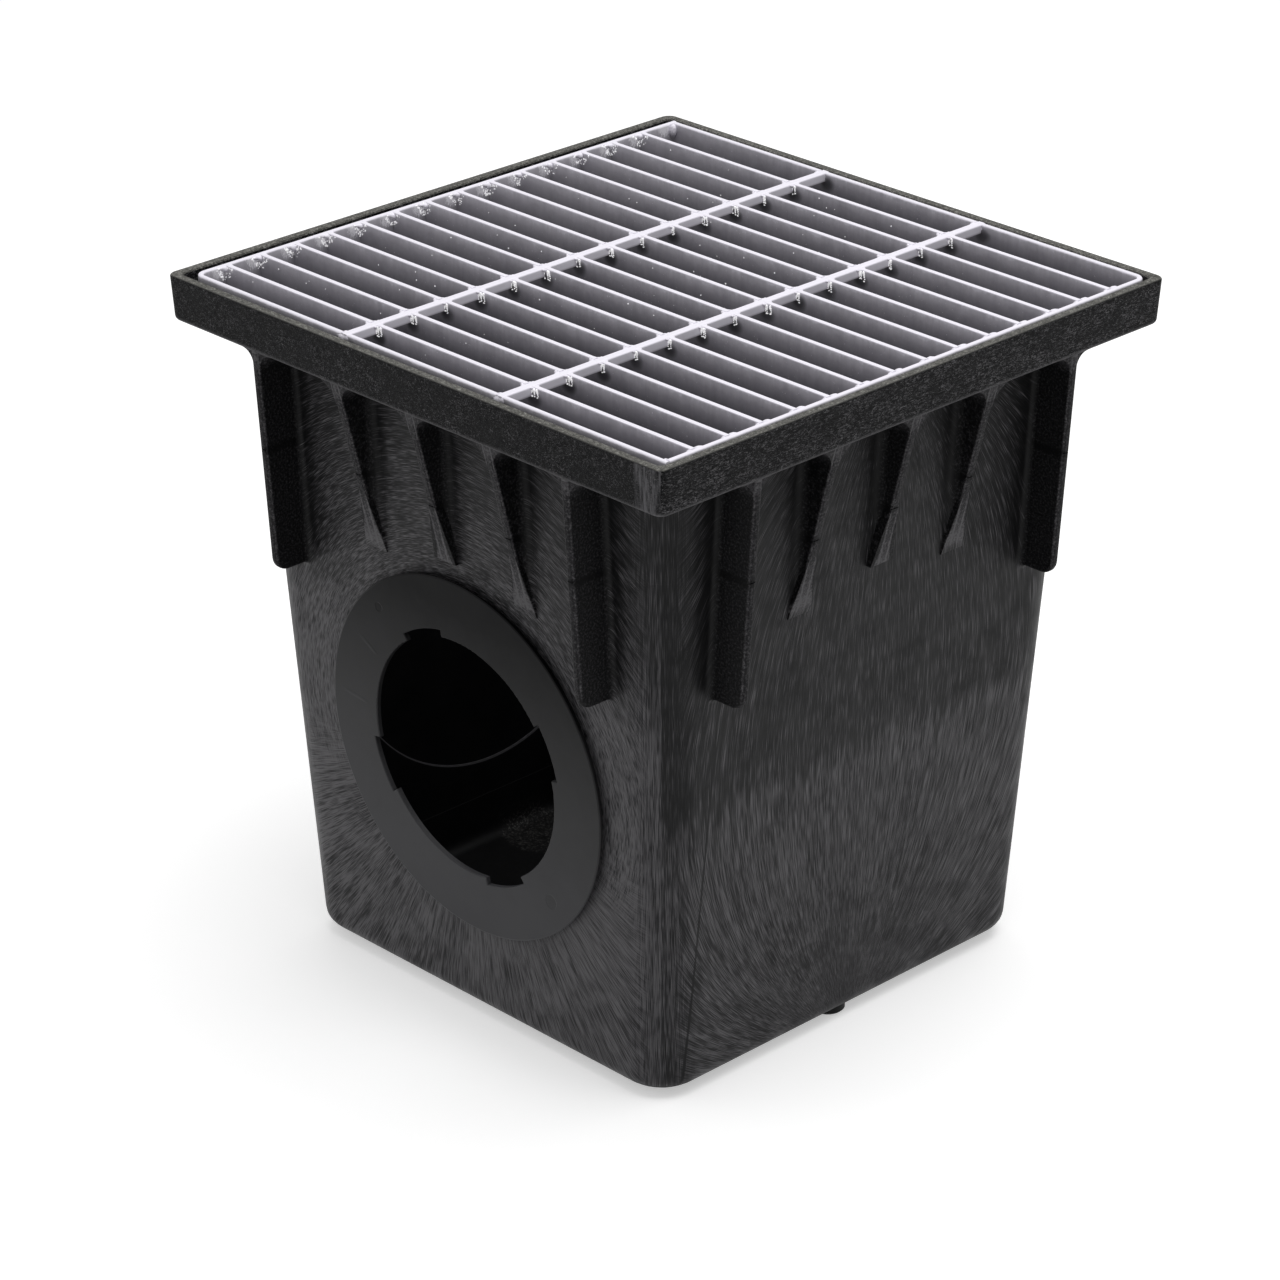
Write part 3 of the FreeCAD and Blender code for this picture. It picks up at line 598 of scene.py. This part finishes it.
def galvanisedSteel(name, litDepth):
    # the last argument is how far the painted light of the top reaches down from it
    material, node = newMaterial(name)
    place, (x, y, z) = placeInMillimetres(node)
    width, length = zinc["runSize"]
    runMap = node("VectorMath MULTIPLY", (place, (1 / width, 1 / width, 1 / length)))
    runs = node("TexNoise", {"Vector": runMap, "Scale": 1.0, "Detail": 2.0, "Roughness": 0.5})
    clouds = node("TexNoise", {"Vector": place, "Scale": 1 / zinc["cloudSize"], "Detail": 4.0,
                               "Roughness": 0.6})
    both = node("Mix", {0: zinc["runShare"], 2: clouds, 3: runs})
    depth = node("Math DIVIDE", (node("Math SUBTRACT", (grate["top"], z)), zinc["sideShadeDepth"]))
    uneven = node("Math MULTIPLY_ADD", (node("Math SUBTRACT", (both, 0.5)), zinc["unevenness"], depth))
    side = node("ValToRGB", (uneven,), zinc["side"]).outputs[0]
    speck = node("TexNoise", {"Vector": place, "Scale": 1 / zinc["speckSize"], "Detail": 2.0})
    side = node("MixRGB", (node("MapRange", (speck, *zinc["specks"])), side, zinc["top"]))
    haze = node("MapRange", (node("Math MULTIPLY_ADD", (clouds, zinc["hazeRagged"], x)), *zinc["hazeLeft"]))
    side = node("MixRGB", (haze, side, zinc["haze"]))
    # painted shadow right of each rod, with some zinc oxide stain
    smudge = 0.0
    for rod in grate["rods"]:
        middle = (rod + grate["rodHalf"] + zinc["stainShadeMiddle"][0], zinc["stainShadeMiddle"][1])
        dark = blot(node, x, depth, middle, zinc["smudgeSize"], clouds, *zinc["stainShadeEdge"])
        smudge = node("Math MAXIMUM", (smudge, dark))
    smudge = node("Math MULTIPLY", (smudge, zinc["stainShadeShare"]))
    side = node("MixRGB", (smudge, side, zinc["smudge"]))

    firstFace = grate["firstBar"] - grate["barHalf"]
    inPitch = node("Math FLOORED_MODULO", (node("Math SUBTRACT", (y, firstFace)), grate["pitch"]))
    pastEnd = node("Math MAXIMUM", (node("Math SUBTRACT", (x, zinc["splashEnd"])), 0.0))
    before = node("Math SUBTRACT", (inPitch, grate["pitch"] - zinc["splashBefore"]))
    shares = node("VectorMath DIVIDE", (node("CombineXYZ", (pastEnd, before, depth)), zinc["splashSize"]))
    ground = node("VectorMath DOT_PRODUCT", (shares, shares)).outputs["Value"]
    fine = node("TexNoise", {"Vector": node("VectorMath MULTIPLY", (place, zinc["splashGrain"])),
                             "Scale": 1.0, "Detail": 3.0, "Roughness": 0.8})
    splash = node("MapRange", (node("Math MULTIPLY_ADD", (fine, zinc["splashRagged"], ground)),
                               *zinc["splashEdge"]))
    side = node("MixRGB", (splash, side, zinc["splash"]))

    # painted light on the top, down to the given depth
    litShare = litDepth / zinc["sideShadeDepth"]
    fade, more = zinc["litTopBorder"]
    paintedLight = node("MapRange SMOOTHSTEP", (depth, litShare, litShare * fade + more, 1.0, 0.0))
    colour = node("MixRGB", (paintedLight, side, zinc["top"]))
    gloss = node("MapRange", (clouds, *noiseSpan, *zinc["roughness"]))
    bump = node("Bump", {"Strength": zinc["bump"], "Distance": zinc["bumpDepth"], "Height": both})
    shader = node("BsdfPrincipled", {"Base Color": colour, "Metallic": zinc["metallic"], "Roughness": gloss,
                                     "Normal": bump})
    node("OutputMaterial", {"Surface": shader})
    return material


# Frozen zinc drips: the same metal in coarse bright crystals, with a slight painted glow.
crystal = {
    "tones": ["#e2e0e6", "#ffffff"],
    "grainSize": 0.9,
    "roughness": 0.35,
    "paintedGlow": 0.35,  # painted light: a slight glow that stands in for the light the crystals catch from every side
    "bump": 0.6,
    "bumpDepth": 0.3 * mm,
}


def zincCrystal():
    material, node = newMaterial("zincCrystalBright")
    place, _ = placeInMillimetres(node)
    grain = node("TexVoronoi", {"Vector": place, "Scale": 1 / crystal["grainSize"]}, feature="F1")
    tone = node("SeparateXYZ", (grain.outputs["Color"],))
    colour = node("MixRGB", (tone.outputs["X"], *crystal["tones"]))
    bump = node("Bump", {"Strength": crystal["bump"], "Distance": crystal["bumpDepth"],
                         "Height": grain.outputs["Distance"]})
    shader = node("BsdfPrincipled", {"Base Color": colour, "Roughness": crystal["roughness"], "Normal": bump,
                                     "Emission Color": crystal["tones"][1],
                                     "Emission Strength": crystal["paintedGlow"]})
    node("OutputMaterial", {"Surface": shader})
    return material


finishes = {
    "foam": structuralFoam(),
    "satin": satinPlastic(),
    # the galvanised finishes differ only in how far the painted light of the top reaches down
    "zinc": galvanisedSteel("hotDipGalvanisedSteel", zinc["barLitDepth"]),
    "rodZincLit": galvanisedSteel("galvanisedSteelLitRods", zinc["rodLitDepth"]),
    "weldZincLit": galvanisedSteel("galvanisedSteelLitWelds", zinc["weldLitDepth"]),
    "crystal": zincCrystal(),
}
nodeFinish = {"basin_body": "foam", "outlet_ring": "satin",
              "cross_rod_left": "rodZincLit", "cross_rod_right": "rodZincLit"}
for name, piece in nodes.items():
    piece.data.materials.clear()
    piece.data.materials.append(finishes[nodeFinish.get(name, "zinc")])
print("materials set")


def pick(*pieces):
    # these alone are selected, and the first is active
    if bpy.context.mode != "OBJECT":
        bpy.ops.object.mode_set(mode="OBJECT")
    bpy.ops.object.select_all(action="DESELECT")
    for piece in pieces:
        piece.select_set(True)
    if pieces:
        bpy.context.view_layer.objects.active = pieces[0]


def changeMesh(piece, change, **settings):
    # one change in edit mode, to all of it
    pick(piece)
    bpy.ops.object.mode_set(mode="EDIT")
    bpy.ops.mesh.select_all(action="SELECT")
    change(**settings)
    bpy.ops.object.mode_set(mode="OBJECT")


def startMesh(name, spots, fineness):
    # one mesh of round lumps, added one after another in edit mode; a spot is (middle, radii, turn)
    pick()
    bpy.ops.mesh.primitive_cube_add(size=mm, location=(0, 0, 0.25))
    piece = bpy.context.object
    piece.name = piece.data.name = name
    bpy.ops.object.transform_apply()
    changeMesh(piece, bpy.ops.mesh.delete, type="VERT")
    bpy.ops.object.mode_set(mode="EDIT")
    for middle, radii, turn in spots:
        bpy.ops.mesh.primitive_ico_sphere_add(subdivisions=fineness, radius=1.0, rotation=turn,
                                              location=[v * mm for v in middle], scale=[v * mm for v in radii])
    bpy.ops.object.mode_set(mode="OBJECT")
    return piece


def dress(piece, finish):
    piece.data.materials.clear()
    piece.data.materials.append(finish)
    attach(piece, "root")


def applyModifier(piece, kind, **settings):
    modifier = piece.modifiers.new(kind.lower(), kind)
    for name, value in settings.items():
        setattr(modifier, name, value)
    pick(piece)
    bpy.ops.object.modifier_apply(modifier=modifier.name)


# Welds: smooth lumps where the bars meet the frame and the rods cross them. A lump has a place,
# radii, and a drop: how far its highest point lies below the grate's top.
weld = {
    "drop": 0.15,
    "smallDrop": 0.1,
    "rightLump": ((-0.5, 0.62), (5.2, 6.4, 5.5)),  # behind each bar, by a share of its own width
    "rightSmall": ((-0.6, -0.6), (3.0, 2.6, 4.5)),
    "leftLump": (3.0, 2.8, 2.6),
    # the left end's three: along the bar, side, away from the bar, shares of the lump
    "left": [(0, -1, 0.4, (1, 1, 1)), (-0.4, -1, 3.4, (0.6, 0.9, 0.6)), (0, 1, 0.5, (0.8, 0.7, 0.7))],
    "swell": (0.9, 1.12),
    "vary": (0.85, 1.15),
    "webVary": (0.85, 1.1),
    "web": 2.3,
    "webShares": ((-1, 1.0), (1, 0.6)),  # larger on the left
    "webParts": (0.35, 1.5, 0.55),  # how far out it is, how far out its ends are, and how large
    "tipOff": 0.1,
    "rodEnd": [(-1.6, 1.5, (4.2, 2.8, 3.6), 0.0), (2.8, 1.8, (3.0, 2.5, 3.0), 0.0),
               (-6.4, 1.9, (3.4, 2.1, 2.4), 0.1), (-3.6, 4.8, (2.8, 3.0, 2.6), 0.1)],
    "frameJoint": [(-1.0, 1.0, (3.6, 3.6, 8.0), 0.15), (1.6, -1.4, (3.0, 2.8, 5.0), 0.1)],
    "turn": 0.25,  # radians
    "voxel": 0.6 * mm,
    "smooth": {"factor": 0.5, "iterations": 3},
    "lumpSize": 2.2 * mm,
    "lumpiness": {"strength": 0.6 * mm, "mid_level": 0.6},
    "seed": 7,
}


def weldLumps():
    rng = random.Random(weld["seed"])
    inside = grate["frameInside"]
    barHalf, rodHalf = grate["barHalf"], grate["rodHalf"]
    spots = []

    def lump(x, y, radii, drop=weld["drop"]):
        spots.append(((x, y, grate["top"] - radii[2] - drop), radii,
                      (0, 0, rng.uniform(-weld["turn"], weld["turn"]))))
    for y in barMiddles:
        swell = rng.uniform(*weld["swell"])
        (alongX, awayShare), radii = weld["rightLump"]
        radii = [r * swell for r in radii]
        lump(inside["right"] + alongX, y + barHalf + radii[1] * awayShare, radii)
        (alongX, away), radii = weld["rightSmall"]
        lump(inside["right"] + alongX, y - barHalf + away, radii)
        radii = [r * rng.uniform(*weld["vary"]) for r in weld["leftLump"]]
        for alongX, side, away, shares in weld["left"]:
            lump(inside["left"] + alongX, y + side * (barHalf + away), [r * s for r, s in zip(radii, shares)])
        for x in grate["rods"]:
            # a rounded web in each corner of the crossing
            for wayX, share in weld["webShares"]:
                for wayY in (-1, 1):
                    web = weld["web"] * share * rng.uniform(*weld["webVary"])
                    out, tipOut, tip = [web * part for part in weld["webParts"]]
                    off = weld["tipOff"]
                    for outX, outY, size in ((out, out, web), (tipOut, off, tip), (off, tipOut, tip)):
                        lump(x + wayX * (rodHalf + outX), y + wayY * (barHalf + outY), [size] * 3,
                             weld["smallDrop"])
    for x in grate["rods"]:
        for y, way in ((grate["frontFace"], 1), (grate["backFace"], -1)):
            for alongX, inwards, radii, drop in weld["rodEnd"]:
                lump(x + alongX, y + way * inwards, radii, drop)
    for x, y in ((inside["right"], inside["front"]), (inside["left"], inside["back"])):
        for alongX, alongY, radii, drop in weld["frameJoint"]:
            lump(x + alongX, y + alongY, radii, drop)
    piece = startMesh("weldLumps", spots, 3)
    applyModifier(piece, "REMESH", mode="VOXEL", voxel_size=weld["voxel"])
    applyModifier(piece, "SMOOTH", **weld["smooth"])
    lumps = bpy.data.textures.new("weldLumpiness", "CLOUDS")
    lumps.noise_scale = weld["lumpSize"]
    applyModifier(piece, "DISPLACE", texture=lumps, texture_coords="LOCAL", **weld["lumpiness"])
    bpy.ops.object.shade_smooth()
    dress(piece, finishes["weldZincLit"])
    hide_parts("weld_beads")
    print("weld lumps:", len(spots), "lumps,", len(piece.data.polygons), "faces")


# Zinc that froze as it ran off: crystals near the frame's left side, short spikes on the right
# of each crossing, and a few stray specks. A range is the least and the most.
drip = {
    "perEnd": 44,
    "frameShare": 0.65,  # most crystals hang on the frame, the others on the bar's face near it
    # reach, how much less of it lower down, depth, size
    "onFrame": ((0, 9), 0.7, 9, (0.25, 0.6)),
    "onBar": ((0.5, 9), 0.6, 8, (0.25, 0.55)),
    "length": (0.8, 2.2),  # as a share of the size
    "firstDrop": 1.0,
    "thickness": (0.7, 1.2),
    "tilt": (-0.7, 0.7),  # radians
    "stuck": 0.1,
    "spikes": (2, 2, 3),  # at a crossing, splayed like feet and thick at the top
    "spikeAt": (-0.2, 1.4),
    "spikePitch": 1.9,
    "spikeSplay": 0.25,
    "spikeLong": (2.0, 3.0),
    "spikeSizes": (0.95, 0.79, 0.63, 0.47),
    "spikeStep": (1.2, 1.5),
    "spikeTop": 1.6,
    "foot": (0.6, 2.0, 1.9, 0.8, 0.6),  # across, down, share of the length, size, length
    "strays": 60,
    "straysAcross": (-205, 60),
    "straysDown": (2.5, 14),
    "straySize": (0.3, 0.65),
    "seed": 21,
}


def zincDrips():
    rng = random.Random(drip["seed"])
    left, top, rodHalf = grate["frameInside"]["left"], grate["top"], grate["rodHalf"]
    spots = []

    def some(key):
        return rng.uniform(*drip[key])

    def bit(x, y, z, size, long=1.0):
        radii = (size * some("thickness"), size * some("thickness"), size * long)
        spots.append(((x, y, z), radii, [some("tilt") for _ in range(3)]))
    for y in barMiddles:
        front = y - grate["barHalf"]
        for _ in range(drip["perEnd"]):
            fall = rng.random() ** 1.5
            onFrame = rng.random() < drip["frameShare"]
            reaches, less, depth, sizes = drip["onFrame" if onFrame else "onBar"]
            reach = rng.uniform(*reaches) * (1 - less * fall)
            alongX, alongY = (drip["stuck"], reach) if onFrame else (reach, drip["stuck"])
            bit(left + alongX, front - alongY, top - drip["firstDrop"] - depth * fall, rng.uniform(*sizes),
                some("length"))
        for x in grate["rods"]:
            for index in range(rng.choice(drip["spikes"])):
                at = x + rodHalf + some("spikeAt") + drip["spikePitch"] * index
                long = some("spikeLong")
                for step, size in enumerate(drip["spikeSizes"]):
                    bit(at + drip["spikeSplay"] * step * (index - 0.5), front - 0.35,
                        top - drip["spikeTop"] - step * long / 2, size, some("spikeStep"))
                across, down, share, size, length = drip["foot"]
                bit(at + across, front - 0.4, top - down - long * share, size, length)
    for _ in range(drip["strays"]):
        y = rng.choice(barMiddles)
        bit(some("straysAcross"), y - grate["barHalf"], top - some("straysDown"), some("straySize"))
    piece = startMesh("zincDrips", spots, 1)
    dress(piece, finishes["crystal"])
    print("zinc drips:", len(spots), "bits")


# Flares: the large concave curves that lead each gusset and rib into the rim, and the hollow
# along each gusset's foot on the wall
flare = {
    "gussetRadius": 18.0,
    "ribRadius": 12.0,
    "ribOut": 232.4,  # where the ribs' curves are cut off
    "gussetIn": 0.25,  # the gussets' curves end this far inside their edge
    "rootRadius": 7.5,
    "rootFrom": 352.0,
    "rootLevel": 400.0,  # the hollow is tilted with the wall about a point at this level
    "sunk": 0.4,  # how deep the blocks reach into the gusset, the rim and the wall
    "sunkRim": 0.5,
    "sunkWall": 4.0,
    "sunkRoot": 1.5,
    "spare": (2.0, 4.0),  # what is cut off again, outside and below
    "roller": {"vertices": 96, "depth": 400 * mm},
    "smoothBelow": math.radians(32),
}


def moveTo(piece, matrix):
    piece.matrix_world = matrix @ piece.matrix_world
    pick(piece)
    bpy.ops.object.transform_apply()


def copyOf(piece, matrix):
    pick(piece)
    bpy.ops.object.duplicate()
    copied = bpy.context.object
    moveTo(copied, matrix)
    return copied


def joined(pieces):
    pick(*pieces)
    bpy.ops.object.join()
    return pieces[0]


def hollowed(low, high, middle, radius, turn):
    # a block with the given corners less a cylinder
    pick()
    bpy.ops.mesh.primitive_cube_add(size=1, location=[(a + b) / 2 * mm for a, b in zip(low, high)],
                                    scale=[(b - a) * mm for a, b in zip(low, high)])
    block = bpy.context.object
    bpy.ops.object.transform_apply()
    bpy.ops.mesh.primitive_cylinder_add(radius=radius * mm, location=[v * mm for v in middle], rotation=turn,
                                        **flare["roller"])
    tool = bpy.context.object
    applyModifier(block, "BOOLEAN", operation="DIFFERENCE", solver="EXACT", object=tool)
    bpy.data.objects.remove(tool)
    return block


def cutBeyond(piece, spot, normal):
    changeMesh(piece, bpy.ops.mesh.bisect, plane_co=[v * mm for v in spot], plane_no=normal, use_fill=True,
               clear_outer=True)


def buttressFlares():
    under, half, rootFrom = foam["rimUnder"], rib["half"], flare["rootFrom"]
    inner, top = half - flare["sunk"], under + flare["sunkRim"]
    spareOut, spareDown = flare["spare"]
    gussetOut, gussetSlope = rib["gussetEdge"]

    def rimCurve(radius, out, slope):
        block = hollowed((wallAt(under) - flare["sunkWall"], inner, under - radius),
                         (out + spareOut, half + radius, top),
                         (wallAt(under), half + radius, under - radius), radius, (0, math.pi / 2, 0))
        cutBeyond(block, (out, 0, under), (1, 0, -slope))
        return block
    radius = flare["rootRadius"]
    foot = wallAt(flare["rootLevel"])
    root = hollowed((foot - flare["sunkRoot"], inner, rootFrom - spareDown),
                    (foot + radius, half + radius, top),
                    (foot + radius, half + radius, flare["rootLevel"]), radius, (0, 0, 0))
    pivot = Matrix.Translation(Vector((foot, 0, flare["rootLevel"])) * mm)
    moveTo(root, pivot @ Matrix.Rotation(math.atan(foam["slope"]), 4, "Y") @ pivot.inverted())
    cutBeyond(root, (wallAt(rootFrom), 0, rootFrom), (1, 0, -gussetSlope))
    gussetCurve = joined([rimCurve(flare["gussetRadius"], gussetOut - flare["gussetIn"], gussetSlope), root])
    ribCurve = rimCurve(flare["ribRadius"], flare["ribOut"], 0.0)
    made = []
    for curve, apartBy, ways in ((gussetCurve, rib["gussetPitch"], (0, 1, -1)),
                                 (ribCurve, rib["ribMiddle"], (1, -1))):
        applyModifier(curve, "MIRROR", use_axis=(False, True, False))
        made += [copyOf(curve, Matrix.Translation((0, way * apartBy * mm, 0))) for way in ways]
        bpy.data.objects.remove(curve)
    side = joined(made)
    turns = [Matrix.Rotation(quarter * math.pi / 2, 4, "Z") for quarter in (1, 2, 3)]
    piece = joined([side] + [copyOf(side, turn) for turn in turns])
    piece.name = piece.data.name = "buttressFlares"
    changeMesh(piece, bpy.ops.mesh.normals_make_consistent, inside=False)
    bpy.ops.object.shade_smooth_by_angle(angle=flare["smoothBelow"])
    dress(piece, finishes["foam"])
    print("flares:", len(piece.data.polygons), "faces")


weldLumps()
zincDrips()
buttressFlares()

# Stage: pale floor, soft lamps and the photo's camera, in metres
stage = {
    "floorSize": 60.0,
    "floorColour": "#f2f2f2",
    "floorGlow": 0.42,
    "worldColour": "#ffffff",
    "worldStrength": 0.45,
    "lamps": {  # place, size, watts
        "topSoftbox": ((0.3, 0.3, 2.6), (2.4, 2.4), 44),
        "leftSoftbox": ((-2.4, -2.2, 1.2), (1.8, 1.4), 10),
    },
    "lampTarget": (0, 0, 0.3),
}
camera = {
    "place": (2.03299, -2.00050, 1.57890),
    "angles": (-45.81, 25.34, 0.07),  # yaw, pitch and roll in degrees
    "focalPixels": 4511.74,
    "framePixels": 1280,
    "sensor": 36.0,
}


def seenByCamera(node):
    # 1 for rays that show a thing, 0 for those that light one
    ray = node("LightPath").outputs
    seen = 0.0
    for kind in ("Camera", "Glossy", "Transmission"):
        seen = node("Math MAXIMUM", (seen, ray["Is " + kind + " Ray"]))
    return seen


def buildFloor():
    pick()
    bpy.ops.mesh.primitive_plane_add(size=stage["floorSize"], location=(0, 0, 0))
    floor = bpy.context.object
    floor.name = "floor"
    material, node = newMaterial("paleFloor")
    diffuse = node("BsdfDiffuse", {"Color": stage["floorColour"]})
    glow = node("Emission", {"Color": "#ffffff", "Strength": stage["floorGlow"]})
    bright = node("AddShader", (diffuse, glow))
    node("OutputMaterial", {"Surface": node("MixShader", (seenByCamera(node), diffuse, bright))})
    floor.data.materials.append(material)


def buildWorld():
    world = bpy.data.worlds.new("studio")
    bpy.context.scene.world = world
    world.use_nodes = True
    world.node_tree.nodes.clear()
    node = partial(addNode, world.node_tree)
    plain = node("Background", {"Color": stage["worldColour"], "Strength": stage["worldStrength"]})
    white = node("Background", {"Color": "#ffffff", "Strength": 1.0})
    node("OutputWorld", {"Surface": node("MixShader", (seenByCamera(node), plain, white))})


def addLamp(name, place, size, power):
    light = bpy.data.lights.new(name, "AREA")
    light.shape = "RECTANGLE"
    light.size, light.size_y = size
    light.energy = power
    lamp = bpy.data.objects.new(name, light)
    bpy.context.scene.collection.objects.link(lamp)
    lamp.location = place
    lamp.rotation_euler = (Vector(stage["lampTarget"]) - Vector(place)).to_track_quat("-Z", "Y").to_euler()


def buildCamera():
    lens = bpy.data.cameras.new("camera")
    lens.sensor_width = camera["sensor"]
    lens.sensor_fit = "HORIZONTAL"
    lens.lens = camera["focalPixels"] / camera["framePixels"] * camera["sensor"]
    yaw, pitch, roll = [math.radians(angle) for angle in camera["angles"]]
    ahead = Vector((math.sin(yaw) * math.cos(pitch), math.cos(yaw) * math.cos(pitch), -math.sin(pitch)))
    level = Vector((math.cos(yaw), -math.sin(yaw), 0))
    down = ahead.cross(level)
    right = math.cos(roll) * level + math.sin(roll) * down
    up = math.sin(roll) * level - math.cos(roll) * down
    holder = bpy.data.objects.new("camera", lens)
    bpy.context.scene.collection.objects.link(holder)
    turn = Matrix((right, up, -ahead)).transposed().to_4x4()
    holder.matrix_world = Matrix.Translation(Vector(camera["place"])) @ turn
    bpy.context.scene.camera = holder


buildFloor()
buildWorld()
for name, (place, size, power) in stage["lamps"].items():
    addLamp(name, place, size, power)
buildCamera()
bpy.context.scene.view_settings.view_transform = "Standard"
print("stage built")
